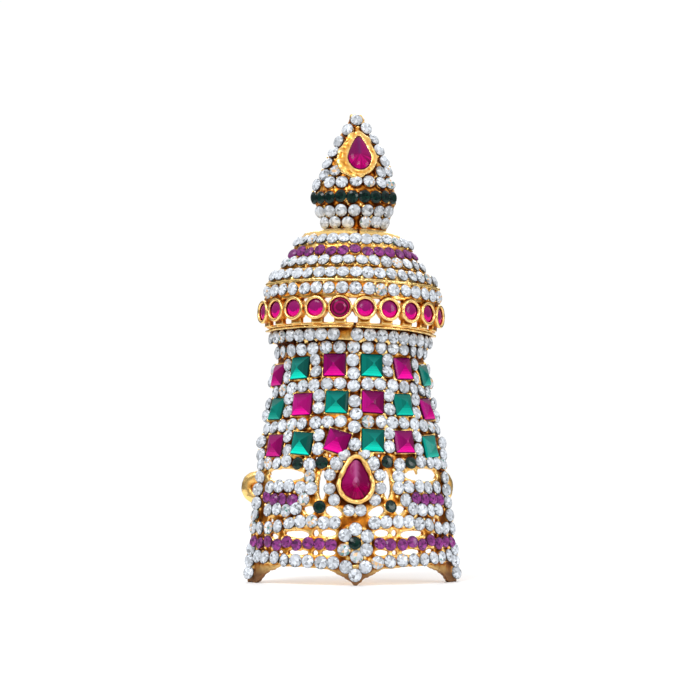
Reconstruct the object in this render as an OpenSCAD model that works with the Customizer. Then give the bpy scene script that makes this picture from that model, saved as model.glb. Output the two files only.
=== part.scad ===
// Half crown for a small temple figure: a cast, gilded shell that is open at the back, set with
// square, pear-shaped and round glass stones.
// Millimetres. The axis of the round forms is Z, the front of the crown faces -Y, and the crown
// stands on the plane z = 0 on its front point and its two rear feet.
// On the wall and skirt a place is given by its way along the curved plate from the front middle
// (across, positive to the right) and by its height.

/* [Crown] */
// Height from the feet to the tip of the finial
crown_h = 88.9; // [88.5:0.1:90]
// Thickness of the cast wall and skirt
wall_t = 1.0; // [0.8:0.1:1.2]
// Thickness of the dome and finial shells
shell_t = 0.9; // [0.8:0.05:1]
// Angle from the front to each side edge of the dome
dome_reach = 66; // [64:1:70]
// Angle from the front to each side edge of the finial
finial_reach = 68; // [67:1:72]

/* [Stones] */
// Diameter of the white and dark green round stones
chaton_d = 2.1; // [1.8:0.05:2.1]
// Diameter of the purple round stones
purple_d = 1.95; // [1.7:0.05:1.95]
// Height of a round stone above its seat
chaton_h = 0.9; // [0.7:0.05:1]
// Side of a square stone
square_w = 4.05; // [3.6:0.05:4.1]
// Diameter of a ruby in the gallery
ruby_d = 3.5; // [3.2:0.05:3.6]
// Width of the large pear stone
pear_w = 5.8; // [5.2:0.1:5.9]
// Width of the small pear stone
small_pear_w = 4.4; // [4:0.1:4.5]
// Clearance under every stone
seat_gap = 0.06; // [0.03:0.01:0.1]

/* [Gallery] */
// Height of the middle of the rubies
ruby_z = 50.35; // [50.3:0.05:50.4]
// Outside diameter of a ruby cup
cup_d = 4.2; // [4.1:0.05:4.3]
// Number of rubies
ruby_count = 10; // [8:1:10]
// Angle from the middle ruby place to the last ruby
ruby_end = 66; // [65:0.5:67]
// Angle from the front to the end of each rail
rail_end = 71; // [70:1:74]

/* [Tie loops] */
// Radius of the middle line of a loop
loop_r = 2; // [1.9:0.05:2.1]
// Width of a loop's bar, seen from the front
loop_w = 2.2; // [2:0.1:2.3]
// Thickness of a loop's bar from front to back
loop_t = 1.7; // [1.4:0.1:1.8]
// Height of the middle of the loops
loop_z = 17.4; // [17:0.1:18]

/* [Hidden] */
SMALL = ["finial_whites", "finial_greens", "dome_whites", "dome_purples", "ring_whites",
    "wall_whites", "skirt_purples", "skirt_greens"];
SQUARES = [for (row = [1:3]) for (column = [1:6]) str("square_stone_", row, "_", column)];
RUBIES = [for (place = [1:ruby_count]) str("ruby_", place)];
$fn = 96;

gold = [0.86, 0.62, 0.2];
white = [0.86, 0.9, 0.96];
purple = [0.5, 0.14, 0.5];
dark_green = [0.02, 0.14, 0.1];
magenta = [0.75, 0.05, 0.45];
green = [0.02, 0.55, 0.4];

far = 60;

// Outer radius of the wall and skirt: [height, radius]
wall_seat = [[0, 21.8], [5, 21.4], [11, 20.8], [17, 19.9], [22, 19], [25.8, 18.2], [29.2, 17.2],
    [32.7, 16.1], [36, 15.4], [40, 14.4], [45.4, 14.4]];
// Ring round the top of the wall, and the flange on it: [radius, height]
ring = [[13.2, 44.55], [15.3, 44.55], [15.3, 47.2], [13.2, 47.2]];
flange = [[13.9, 46.85], [16.7, 46.85], [16.7, 47.25], [13.9, 47.25]];
// The ring leans to the right, and what stands on it leans to the right and to the back, about a
// point at its front: [lean to the right, lean to the back]
ring_lean = [1.6, 0];
upper_lean = [1.5, 2.8];
lean_point = [0, -17.5, 45.6];
// Rear edge of the wall seen from the side: [height, y]
rear_edge = [[-1, -9.8], [0, -9.8], [10, -9.1], [22, -8.2], [30, -6.4], [38, -4.2], [47.5, -3.3],
    [far, -3.3]];
// Lower edge of the skirt from the front point to a rear foot: [across, height]
hem = [[0.35, 0], [1.1, 0.7], [2.5, 1.6], [5, 2.5], [10, 2.9], [15, 2.9], [17.6, 2.3], [19.6, 1],
    [20.8, 0], [20.8, -1], [0.35, -1]];

// Gaps cut through the skirt, all made on the right and on the left:
// [across, height, width, height of the gap, tilt, taper to the front]
gaps = [[14, 19.75, 9.2, 2.4, 0, 0.15], [6, 18.0, 1.5, 5.6, 0, 0],
    [8.7, 13.5, 2.3, 1.5, 15, -0.5], [3.9, 13.2, 3.3, 1.7, 20, 0.3], [17.1, 11.4, 1.4, 0.9, 0, 0],
    [7.1, 22.8, 0.7, 0.6, 0, 0], [4.6, 23.3, 0.6, 0.7, 0, 0], [4.9, 9.35, 2.9, 1.25, 0, 0],
    [7.3, 9.35, 1.1, 1.25, 0, 0], [11.2, 9.1, 5.4, 1.25, 3, -0.3], [16.2, 8.6, 2.2, 1, 6, 0],
    [4.9, 5.85, 2.7, 0.95, 0, 0], [7.4, 5.85, 1.0, 0.9, 0, 0], [10.8, 5.85, 4.4, 0.95, 0, 0],
    [15.2, 5.9, 2.4, 0.8, 3, 0]];

// Dome, outside from the gallery up to the neck: [height, radius]
dome_seat = [[53.35, 17.95], [55.1, 17.7], [55.35, 18.05], [55.7, 18.05], [55.9, 17.6],
    [57.95, 16.55], [58.4, 15.35], [60.4, 14.15], [60.6, 13.75], [62.55, 12.5], [62.95, 12.45],
    [64.9, 11.25], [65, 10.95], [65.4, 10.7], [65.9, 10.3], [66.3, 9.6], [66.55, 8.3],
    [66.65, 7], [66.7, 5.9]];
// Dome, inside from the neck down to the gallery: [height, radius]
dome_inside = [[65.7, 5.4], [65.5, 8.4], [64.9, 9.6], [64.1, 10.4], [62.3, 11.5], [60.2, 12.7],
    [58.1, 14.1], [57, 15.4], [55.5, 16.5], [53.35, 16.95]];
// Rows of stones on the dome: [height, count, angle of the last stone, colour]
dome_rows = [[53.9, 17, 61.5, "white"], [56.85, 17, 60, "white"], [59.45, 14, 59, "white"],
    [61.5, 13, 58, "purple"], [63.95, 13, 60.5, "white"]];

// Finial, outside radius: [height, radius]
finial_seat = [[66.35, 6.45], [67.2, 6.8], [69.6, 7.5], [71.2, 8.35], [73.2, 8.35], [74.7, 7.75],
    [76.9, 6.95], [78.9, 6.25], [81.2, 5.05], [83.3, 3.95], [85.6, 2.6], [87.4, 1.45],
    [88.4, 1]];
// Way that the finial stands to the right of the crown's middle
finial_shift = 0.9;

// Strings of small stones, evenly spaced from one end to the other:
// [angle or way across, height] of the first stone, of the last stone, count, rise at the front
finial_white_strings = [[[-38, 74.6], [54, 74.6], 6, 0.2], [[-57, 69.6], [50, 69.6], 7, 0],
    [[-54, 67.4], [-13, 67.4], 3, 0], [[13, 67.4], [49, 67.4], 3, 0]];
finial_green_strings = [[[-65, 72.4], [54, 72.4], 9, -0.4]];
ring_strings = [[[-74, 45.05], [-13.3, 45.6], 8, 0], [[2.2, 45.6], [72, 45.0], 9, 0]];
wall_strings = [[[-17.6, 42.45], [17.6, 42.45], 15, 0.8], [[-17.2, 34.65], [17.2, 34.65], 15, 1.85],
    [[-19.2, 28.15], [19.2, 28.15], 17, 1.4]];
// These are made on the right and on the left
skirt_purple_strings = [[[11.8, 15.4], [18.1, 15.4], 4, 0], [[4.3, 7.4], [21.6, 7.4], 9, 0]];
skirt_green_strings = [[[5.95, 22], [10.75, 22], 2, 0], [[6.45, 14.1], [6.45, 14.1], 1, 0]];
// White stones up the two flanks of the finial, one by one: [angle, height]
finial_flanks = [[5, 87.4], [-30, 85.4], [-45, 83.1], [-49, 80.8], [-54, 78.6], [-33, 76.9],
    [-53, 76.3], [-66, 74.6], [50, 85.7], [62, 83.6], [60, 81.4], [60, 79.2], [39, 76.8],
    [59.5, 77.2]];

// Chequer of square stones, three rows from left to right: [across, height, tilt]
square_rows = [[[-16.6, 38.3, 2], [-10.4, 39.5, 3], [-3.45, 40, 0], [3.3, 39.9, -3],
    [9.8, 39.4, 1], [16.6, 38.3, 4]], [[-16.3, 31.9, 0], [-9.8, 32.7, 2], [-3.1, 33.1, -2],
    [3.4, 33.1, -4], [9.5, 32.6, 0], [16, 31.9, 3]], [[-16.1, 25.1, 0], [-9.8, 25.5, -5],
    [-3.1, 25.8, -17], [3.3, 26.05, -4], [9.4, 25.8, 0], [15.9, 24.9, 4]]];

// Facets of the stones, as levels from the seat to the table: [scale of the outline, height]
chaton_cut = [[0.8, 0], [1, 0.35 * chaton_h], [0.56, chaton_h]];
square_cut = [[0.95, 0], [1, 0.45], [0.76, 0.9], [0.14, 1.5]];
ruby_cut = [[0.9, 0], [1, 0.3], [0.72, 0.75], [0.3, 0.95]];
pear_cut = [[0.94, 0], [1, 0.5], [0.74, 1.2], [0.3, 1.7]];

// Pear stones: [angle, height, radius, lean] of the middle of the round end, then how far the
// point and the round end reach, as a share of half the width
pear_place = [0, 18.1, wall_radius(18.1), 10.5];
pear_reach = [1.66, 1.08];
pear_rim = 0.5;
pear_bezel_h = 1.3;
finial_pear_place = [5, 79.6, 6.1, 20];
finial_pear_reach = [1.95, 1.3];
finial_pear_rim = 1.2;
finial_bezel_h = 0.9;
seam_w = 0.25;
seam_angle = 1.5;
ruby_middle = -1.5;
// Rails of the gallery: [inner radius, bottom, outer radius, top]
low_rail = [15.5, 47.3, 16.85, 47.8];
high_rail = [16.3, ruby_z + cup_d / 2 - 0.2, 17.65, ruby_z + cup_d / 2 + 0.75];
foot_w = 2.2;
neck_h = 0.9;
neck_w = 0.7;
cup_back = 16.4;
cup_front = 18.2;
cup_floor = 17.2;
neck_r = 16.6;
// Tie loops: [side, way of the legs from the middle, how far behind the wall's edge, turn to the
// back, lean]
tie_loops = [[-1, 17.7, 1.5, 20, 10], [1, 17, 1.85, 50, 10]];
loop_leg = 1;

function wall_radius(z) = lookup(z, wall_seat);
function across_angle(across, z) = across / wall_radius(z) * 180 / PI;
function circle_outline(d, sides) = [for (i = [0:sides - 1]) d / 2 *
    [cos((i + 0.5) * 360 / sides), sin((i + 0.5) * 360 / sides)]];
function oval(width, height) = [for (i = [0:19]) [width / 2 * cos(i * 18),
    height / 2 * sin(i * 18)]];
// A pear: an oval whose upper half is drawn in to a point
function pear_outline(width, reach, sides) = [for (i = [0:sides - 1]) let (a = i * 360 / sides - 90)
    [width / 2 * cos(a) * (1 - 0.34 * max(0, sin(a))),
    width / 2 * (reach[1] * min(0, sin(a)) + max(0, sin(a)) * (1 + (reach[0] - 1) * sin(a)))]];
function widened(outline, by) = [for (p = outline) p * (1 + by / norm(p))];

// A point given at a place's own right, up and outward directions, in the crown's frame.
// A place is [angle, height, radius, lean].
function on_crown(p, place) = let (out = place[2] + p[2] * cos(place[3]) - p[1] * sin(place[3]),
    up = place[1] + p[2] * sin(place[3]) + p[1] * cos(place[3]))
    [out * sin(place[0]) + p[0] * cos(place[0]), p[0] * sin(place[0]) - out * cos(place[0]), up];

// Place of a stone whose seat reaches a half length up and down from its middle
function seat_place(angle, z, table, half) = let (low = lookup(z - half, table),
    high = lookup(z + half, table))
    [angle, z, max(lookup(z, table), (low + high) / 2) + seat_gap, atan2(low - high, 2 * half)];
function wall_place(across, z, half = 0.4) = seat_place(across_angle(across, z), z, wall_seat, half);
function finial_place(angle, z) = seat_place(angle, z, finial_seat, 0.8);
function along(s, i) = s[2] == 1 ? s[0] : s[0] + (s[1] - s[0]) * i / (s[2] - 1);
function raised(s, p, full) = p[1] + s[3] * cos(min(90, abs(p[0]) * 90 / full));
function mirrored(places) = concat(places, [for (p = places) [-p[0], p[1], p[2], p[3]]]);
function wall_places(strings) = [for (s = strings) for (i = [0:s[2] - 1]) let (p = along(s, i))
    wall_place(p[0], raised(s, p, 20))];
function ring_places() = [for (s = ring_strings) for (i = [0:s[2] - 1]) let (p = along(s, i))
    [p[0], p[1], ring[1][0] + seat_gap, 0]];
function finial_places(strings) = [for (s = strings) for (i = [0:s[2] - 1]) let (p = along(s, i))
    finial_place(p[0], raised(s, p, 90))];
function dome_places(colour) = [for (row = dome_rows) if (row[3] == colour)
    for (i = [0:row[1] - 1]) seat_place(row[2] * (2 * i / (row[1] - 1) - 1), row[0],
    dome_seat, 0.4)];

// Cut stones with the same outline and cut, one at each place
module stones(places, outline, cut) {
    sides = len(outline);
    levels = len(cut);
    size = sides * levels;
    polyhedron(
        points = [for (place = places) for (level = cut) for (p = outline)
            on_crown([p[0] * level[0], p[1] * level[0], level[1]], place)],
        faces = [for (n = [0:len(places) - 1]) each concat(
            [[for (i = [0:sides - 1]) n * size + i]],
            [for (k = [0:levels - 2]) for (i = [0:sides - 1]) let (j = (i + 1) % sides,
                low = n * size + k * sides) [low + i, low + sides + i, low + sides + j, low + j]],
            [[for (i = [sides - 1:-1:0]) n * size + (levels - 1) * sides + i]])]);
}

module chatons(places, d = chaton_d) stones(places, circle_outline(d, 8), chaton_cut);

// Leans its children about the lean point
module leaning(lean) translate(lean_point) rotate([-lean[1], lean[0], 0]) translate(-lean_point)
    children();

// Puts its children at a place: X to the right, Y up the surface, Z outwards
module at(place) rotate([0, 0, place[0]]) translate([0, -place[2], place[1]])
    rotate([90 - place[3], 0, 0]) children();

// A closed profile [radius, height] turned round the front, as far as an angle to each side
module half_turn(profile, reach = 90) rotate_extrude(angle = 2 * reach, start = -90 - reach)
    polygon(profile);

// Cutter for a gap: an oval outline, sunk straight through the skirt
module gap_cutter(gap, side) {
    angle = across_angle(gap[0], gap[1]);
    rotate([0, 0, side * angle]) translate([0, -wall_radius(gap[1]) - 3, gap[1]])
        rotate([-90, 0, 0]) rotate([0, 0, -side * gap[4]])
        linear_extrude(6) polygon([for (i = [0:9]) let (a = i * 36)
            [side * gap[2] / 2 * cos(a), gap[3] / 2 * sin(a) * (1 + gap[5] * cos(a))]]);
}

// Cutter for the hollow of the lower edge on one side
module hem_cutter(side) {
    middle = across_angle(12, 2);
    rotate([0, 0, side * middle]) rotate([90, 0, 0]) linear_extrude(far)
        polygon([for (p = hem) [side * wall_radius(0) * sin(across_angle(p[0], 0) - middle), p[1]]]);
}

module seam_cutter(radius, z_low, z_high, depth = 0.35) rotate([0, 0, seam_angle])
    translate([-seam_w / 2, -radius - 1, z_low]) cube([seam_w, depth + 1, z_high - z_low]);

// Raised rim round a pear stone, which starts some way below the stone's seat
module pear_bezel(outline, rim, height, below) translate([0, 0, -below])
    linear_extrude(height + below) difference() {
        polygon(widened(outline, rim));
        polygon(widened(outline, seat_gap));
    }

// Wall, skirt, feet and front setting, in one casting
module body_casting() color(gold) {
    difference() {
        union() {
            half_turn(concat([for (p = wall_seat) [p[1], p[0]]],
                [for (i = [len(wall_seat) - 1:-1:0]) [wall_seat[i][1] - wall_t, wall_seat[i][0]]]));
            leaning(ring_lean) half_turn(ring);
            leaning(upper_lean) half_turn(flange);
        }
        leaning(upper_lean) translate([-far, -far, flange[2][1]]) cube([2 * far, 2 * far, far]);
        rotate([90, 0, 90]) translate([0, 0, -far]) linear_extrude(2 * far)
            polygon(concat([for (p = rear_edge) [p[1], p[0]]], [[far, far], [far, -1]]));
        for (side = [-1, 1]) {
            hem_cutter(side);
            for (gap = gaps) gap_cutter(gap, side);
        }
        leaning(ring_lean) seam_cutter(ring[1][0], 44.4, 46.4);
    }
    at(pear_place) pear_bezel(pear_outline(pear_w, pear_reach, 24), pear_rim, pear_bezel_h, 0.4);
}

function ruby_angle(i) = ruby_middle + ruby_end * (2 * i / (ruby_count - 1) - 1);

module rail(sizes) half_turn([[sizes[0], sizes[1]], [sizes[2], sizes[1]], [sizes[2], sizes[3]],
    [sizes[0], sizes[3]]], rail_end);

// Two rails with the ruby cups between them, joined side by side by short necks. Each cup hangs
// from the upper rail and stands on a short foot on the lower one.
module ruby_gallery() color(gold) leaning(upper_lean) difference() {
    union() {
        rail(low_rail);
        rail(high_rail);
        half_turn([[neck_r, ruby_z - neck_h / 2], [neck_r + neck_w, ruby_z - neck_h / 2],
            [neck_r + neck_w, ruby_z + neck_h / 2], [neck_r, ruby_z + neck_h / 2]],
            ruby_end + ruby_middle);
        for (i = [0:ruby_count - 1]) rotate([0, 0, ruby_angle(i)]) {
            translate([0, -cup_back, ruby_z]) rotate([90, 0, 0])
                cylinder(d = cup_d, h = cup_front - cup_back);
            translate([-foot_w / 2, -low_rail[2] - 0.5, low_rail[3] - 0.2])
                cube([foot_w, 1, ruby_z - cup_d / 2 - low_rail[3] + 0.5]);
        }
    }
    for (i = [0:ruby_count - 1]) rotate([0, 0, ruby_angle(i)])
        translate([0, -cup_floor, ruby_z]) rotate([90, 0, 0])
        cylinder(d = ruby_d + 4 * seat_gap, h = far);
    seam_cutter(low_rail[2], low_rail[1] - 1, ruby_z - 1);
}

// Stepped dome with its ledges and collar
module dome_casting() color(gold) leaning(upper_lean) difference() {
    half_turn([for (p = concat(dome_seat, dome_inside)) [p[1], p[0]]], dome_reach);
    seam_cutter(11, 64.95, 67, 4);
}

// Hollow bud with its setting; its tip is solid
module finial_casting() color(gold) translate([finial_shift, 0, 0]) {
    outside = [for (p = finial_seat) [p[1], p[0]]];
    outline = pear_outline(small_pear_w, finial_pear_reach, 24);
    difference() {
        half_turn(concat(outside, [[0.6, crown_h], [0, crown_h], [0, 86]],
            [for (i = [len(outside) - 3:-1:0]) outside[i] - [shell_t, 0]]), finial_reach);
        at(finial_pear_place) linear_extrude(4) polygon(widened(outline, seat_gap));
    }
    difference() {
        at(finial_pear_place) pear_bezel(outline, finial_pear_rim, finial_bezel_h, 1);
        half_turn(concat([[0, 60]], [for (p = outside) p - [0.5, 0]]), 90);
    }
}

// Half ring with two short legs on a rear edge of the skirt, bent from an oval bar
module tie_loop(loop) color(gold)
    translate([loop[0] * loop[1], lookup(loop_z, rear_edge) + loop[2], loop_z])
    rotate([90, 0, loop[0] * loop[3]]) rotate([0, 0, loop[0] * loop[4] + 90 * (1 - loop[0])]) {
        rotate_extrude(angle = 180, start = -90) translate([loop_r, 0])
            polygon(oval(loop_w, loop_t));
        for (up = [-1, 1]) translate([0, up * loop_r, 0]) rotate([0, -90, 0])
            linear_extrude(loop_leg) polygon(oval(loop_t, loop_w));
    }

module square_stone(row, column) color((row + column) % 2 == 1 ? green : magenta) {
    spot = square_rows[row][column];
    turn = spot[2];
    corners = [for (p = square_w / 2 * [[1, -1], [1, 1], [-1, 1], [-1, -1]])
        [p[0] * cos(turn) - p[1] * sin(turn), p[0] * sin(turn) + p[1] * cos(turn)]];
    stones([wall_place(spot[0], spot[1], square_w / 2)], corners, square_cut);
}

module ruby(i) color(magenta) leaning(upper_lean)
    stones([[ruby_angle(i), ruby_z, cup_floor + seat_gap, 0]], circle_outline(ruby_d, 10), ruby_cut);

module pear_stone() color(magenta)
    stones([pear_place + [0, 0, 2 * seat_gap, 0]], pear_outline(pear_w, pear_reach, 24), pear_cut);

module finial_pear_stone() color(magenta) translate([finial_shift, 0, 0])
    stones([finial_pear_place + [0, 0, seat_gap, 0]],
    pear_outline(small_pear_w, finial_pear_reach, 24), pear_cut);

module finial_whites() color(white) translate([finial_shift, 0, 0])
    chatons(concat([for (p = finial_flanks) finial_place(p[0], p[1])],
    finial_places(finial_white_strings)));
module finial_greens() color(dark_green) translate([finial_shift, 0, 0])
    chatons(finial_places(finial_green_strings));
module dome_whites() color(white) leaning(upper_lean) chatons(dome_places("white"));
module dome_purples() color(purple) leaning(upper_lean) chatons(dome_places("purple"), purple_d);
module ring_whites() color(white) leaning(ring_lean) chatons(ring_places());
module wall_whites() color(white) chatons(wall_places(wall_strings));
module skirt_purples() color(purple) chatons(mirrored(wall_places(skirt_purple_strings)), purple_d);
module skirt_greens() color(dark_green) chatons(concat([wall_place(0, 7.6)],
    mirrored(wall_places(skirt_green_strings))));

body_casting();
ruby_gallery();
dome_casting();
finial_casting();
tie_loop(tie_loops[0]);  // tie_loop_left
tie_loop(tie_loops[1]);  // tie_loop_right
pear_stone();
finial_pear_stone();
finial_whites();
finial_greens();
dome_whites();
dome_purples();
ring_whites();
wall_whites();
skirt_purples();
skirt_greens();
for (row = [0:2]) for (column = [0:5])
    square_stone(row, column);
for (i = [0:ruby_count - 1]) ruby(i);
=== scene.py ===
import bpy
import numpy as np
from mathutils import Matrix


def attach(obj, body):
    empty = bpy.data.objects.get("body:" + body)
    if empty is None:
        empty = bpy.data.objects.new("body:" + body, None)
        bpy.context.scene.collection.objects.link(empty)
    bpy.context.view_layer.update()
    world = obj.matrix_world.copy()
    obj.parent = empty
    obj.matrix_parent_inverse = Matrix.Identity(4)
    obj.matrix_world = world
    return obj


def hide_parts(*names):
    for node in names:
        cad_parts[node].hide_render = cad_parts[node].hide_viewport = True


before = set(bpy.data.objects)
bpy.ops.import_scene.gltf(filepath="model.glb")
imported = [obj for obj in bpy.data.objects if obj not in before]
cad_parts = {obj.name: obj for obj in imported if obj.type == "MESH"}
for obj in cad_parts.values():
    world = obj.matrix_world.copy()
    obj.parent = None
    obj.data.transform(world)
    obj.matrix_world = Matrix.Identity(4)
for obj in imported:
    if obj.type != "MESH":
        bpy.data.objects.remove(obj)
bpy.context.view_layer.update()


# Seats of the small round stones. Each stone is glued into a shallow cup of the casting. The solids
# hold most of them as loose octagonal stones, whose places are read from there. The others follow
# short tables, as they do in the solids' source.

def solid(name):
    """Corners in millimetres and triangles of a solid of the frame, with its doubles merged."""
    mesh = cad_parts[name].data
    corners = np.zeros(len(mesh.vertices) * 3)
    mesh.vertices.foreach_get("co", corners)
    mesh.calc_loop_triangles()
    triangles = np.zeros(len(mesh.loop_triangles) * 3, int)
    mesh.loop_triangles.foreach_get("vertices", triangles)
    places, number = np.unique(np.round(corners.reshape(-1, 3) * 1000, 4), axis=0,
                               return_inverse=True)
    return places, number.ravel()[triangles].reshape(-1, 3)


def seats_of(name, middle=0.405):
    """Frames [origin, right, up, out] of a field's loose stones: a stone's corners all carry the
    lowest corner number that its triangles pass on, its axis is the direction in which its
    corners spread least, and its seat is `middle` below their mean."""
    corners, triangles = solid(name)
    label = np.arange(len(corners))
    while True:
        passed = label.copy()
        np.minimum.at(passed, triangles.ravel(), np.repeat(label[triangles].min(1), 3))
        if (passed == label).all():
            break
        label = passed
    order = np.argsort(label, kind="stable")
    stones = corners[order].reshape(len(np.unique(label)), -1, 3)
    mean = stones.mean(1)
    spread = stones - mean[:, None]
    out = np.linalg.eigh(np.einsum("nki,nkj->nij", spread, spread))[1][:, :, 0]
    outwards = mean * [1, 1, 0]
    out *= np.sign((out * outwards).sum(1))[:, None]
    return framed(mean - middle * out, out)


def framed(origin, out):
    """Frames whose up is as near to Z as it can be."""
    right = np.cross([0, 0, 1], out)
    right /= np.linalg.norm(right, axis=1)[:, None]
    return np.stack([origin, right, np.cross(out, right), out], 1)


# Outer radius of the wall: [height, radius]
WALL = np.array([[0, 21.8], [5, 21.4], [11, 20.8], [17, 19.9], [22, 19], [25.8, 18.2],
                 [29.2, 17.2], [32.7, 16.1], [36, 15.4], [40, 14.4], [45.4, 14.4]])
# Where the wall ends at the rear, seen from the side: [height, y]
REAR_EDGE = np.array([[0, -9.8], [10, -9.1], [22, -8.2], [30, -6.4], [38, -4.2], [45, -3.4]])


def wall_radius(z):
    """Outer radius at a height, on straight lines between the rows of the table."""
    return np.interp(z, WALL[:, 0], WALL[:, 1])


def on_wall(across, z, lift=0.06):
    """Frames on the wall: a place is its way along the wall from the front middle and its
    height, and out leans up as much as the wall narrows."""
    across, z = np.broadcast_arrays(np.asarray(across, float), np.asarray(z, float))
    angle = across / wall_radius(z)
    lean = np.arctan((wall_radius(z - 0.4) - wall_radius(z + 0.4)) / 0.8)
    radius = wall_radius(z) + lift
    origin = np.stack([radius * np.sin(angle), -radius * np.cos(angle), z], -1)
    out = np.stack([np.sin(angle) * np.cos(lean), -np.cos(angle) * np.cos(lean),
                    np.sin(lean)], -1)
    return framed(origin, out)


def string(x0, z0, x1, z1, count, rise=0.0):
    """Places evenly spaced along a bow from one end to the other."""
    way = np.linspace(0, 1, count)
    return np.stack([x0 + (x1 - x0) * way, z0 + (z1 - z0) * way + rise * np.sin(np.pi * way)], 1)


def both_sides(places):
    """Places, and the same places mirrored across the front middle."""
    return np.concatenate([places, places * [-1, 1]])


# Squares: rows of [across, height, turn], from left to right, as they are set
SQUARE_ROWS = np.array([
    [[-16.6, 38.3, 2], [-10.4, 39.5, 3], [-3.45, 40, 0], [3.3, 39.9, -3], [9.8, 39.4, 1],
     [16.6, 38.3, 4]],
    [[-16.3, 31.9, 0], [-9.8, 32.7, 2], [-3.1, 33.1, -2], [3.4, 33.1, -4], [9.5, 32.6, 0],
     [16, 31.9, 3]],
    [[-16.1, 25.1, 0], [-9.8, 25.5, -5], [-3.1, 25.8, -17], [3.3, 26.05, -4], [9.4, 25.8, 0],
     [15.9, 24.9, 4]]])
SQUARE_SIDE = 4.28

# Whites between the squares, two above each other in each space. The middle column hangs lower.
between = (SQUARE_ROWS[:, 1:, :2] + SQUARE_ROWS[:, :-1, :2]) / 2
pairs = np.concatenate([between + [0, 1.35], between + [0, -1.05]]).reshape(-1, 2)
pairs = np.concatenate([pairs[np.abs(pairs[:, 0]) > 1],
                        [[-0.05, 40.9], [0.1, 38.3], [0.2, 33.3], [0.2, 30.8], [0, 25.1]]])
# Whites round the large pear stone, on an oval that reaches further up than down
RING_MIDDLE, RING_ACROSS, RING_UP, RING_DOWN = 18.4, 4.6, 5.6, 5.05
turn = np.radians(np.array([-103, -77, -38, -12, 14, 42, 67, 113, 138, 166, 192, 218]))
pear_ring = np.stack([RING_ACROSS * np.cos(turn), RING_MIDDLE + np.where(
    np.sin(turn) > 0, RING_UP, RING_DOWN) * np.sin(turn)], 1)
# Rows of the skirt, made on both sides: start, end, count, rise
skirt = both_sides(np.concatenate([
    string(3.25, 21.75, 3.25, 21.75, 1), string(8.35, 21.7, 8.35, 21.7, 1),
    string(13.1, 22.2, 20.1, 21.7, 4), string(8, 19.5, 8, 17.3, 2),
    string(10.2, 17.5, 19.3, 17.1, 5, 0.3), string(9.3, 15.2, 11, 13.7, 2),
    string(13.1, 13.4, 19.7, 13.1, 4, 0.1), string(3.4, 11.2, 10.1, 11.4, 4, 0.2),
    string(12.4, 10.9, 22, 9.9, 5, -0.3), string(2.05, 8.9, 2.05, 8.9, 1),
    string(2, 6.35, 2, 6.35, 1), string(1.65, 3.35, 1.65, 3.35, 1),
    string(4, 4, 20.3, 4.8, 8, 0.1)]))
diamond = np.array([[0, 10.1], [0.1, 5.1], [0, 2.1]])
# Stones along the wall's rear edges, on both sides: [height, how far in from the edge]
EDGE_ROWS = np.array([[1.7, 1.3], [3.9, 1.5], [6.1, 1.5], [12.3, 1.9], [14.6, 2.0], [16.9, 2.0],
                      [19.2, 1.8], [23.4, 0.9], [25.7, 0.5], [30.6, 0.2], [32.9, 0.0], [37.1, 0.0],
                      [39.4, 0.0]])


def edge_seats(rows, forward=14, lift=0.2, lean=0.15):
    """Frames of the stones along the rear edges, which face forward by some degrees more than the
    wall does and lean up a little."""
    heights, inset = rows.T
    y = np.interp(heights, REAR_EDGE[:, 0], REAR_EDGE[:, 1])
    radius = wall_radius(heights) + lift
    angle = np.arccos(-y / radius) - inset / radius
    turn = angle - np.radians(forward)
    seats = []
    for side in (-1, 1):
        origin = np.stack([side * radius * np.sin(angle), -radius * np.cos(angle), heights], 1)
        out = np.stack([side * np.sin(turn), -np.cos(turn), np.full(len(turn), lean)], 1)
        out /= np.linalg.norm(out, axis=1)[:, None]
        seats.append(framed(origin, out))
    return np.concatenate(seats)


def shaken(frames, by, seed):
    """Frames moved a little along their own right and up."""
    moved = frames.copy()
    by = np.random.default_rng(seed).normal(0, by, (len(frames), 2))
    moved[:, 0] += frames[:, 1] * by[:, :1] + frames[:, 2] * by[:, 1:]
    return moved


fields = {name: shaken(seats_of(name), by=0.06, seed=seed) for seed, name in enumerate(
    ("ring_whites", "wall_whites", "skirt_purples", "skirt_greens", "dome_whites",
     "dome_purples", "finial_whites", "finial_greens"))}
# The middle stone of the two rows between the squares hangs as low as its column does
rows = fields["wall_whites"]
for height, down in ((36.3, 0.5), (29.5, 1.15)):
    low_one = np.hypot(rows[:, 0, 0], rows[:, 0, 2] - height) < 1.1
    rows[low_one, 0] -= down * rows[low_one, 2]
fields["edge_whites"] = shaken(edge_seats(EDGE_ROWS), by=0.08, seed=9)
# Of the others, those that would stand in a stone of the edges are left out
CLOSEST = 1.75
extra = np.concatenate([pairs, skirt, diamond])
spare = shaken(on_wall(extra[:, 0], extra[:, 1]), by=0.09, seed=8)
apart = np.linalg.norm(spare[:, None, 0] - fields["edge_whites"][None, :, 0], axis=2).min(1)
fields["wall_extra"] = spare[apart > CLOSEST]
fields["pear_ring"] = shaken(on_wall(pear_ring[:, 0], pear_ring[:, 1], lift=0.12), by=0.07, seed=10)
# The stones on the finial's flanks face forward more than its shell does, and stand a little out
FORWARD, STAND_OUT = 0.75, 0.08
flanks = fields["finial_whites"]
out = flanks[:, 3] + [0, -FORWARD, 0] * np.abs(flanks[:, 3, :1]) ** 2
fields["finial_whites"] = framed(flanks[:, 0] + out * STAND_OUT,
                                 out / np.linalg.norm(out, axis=1)[:, None])
# The purple rows run up and down a little
for name in ("skirt_purples", "dome_purples"):
    seats = fields[name]
    wave = 0.22 * np.sin(1.9 * seats[:, 0, 0]) + 0.1 * np.sin(5.1 * seats[:, 0, 0])
    seats[:, 0] += seats[:, 2] * wave[:, None]


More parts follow.
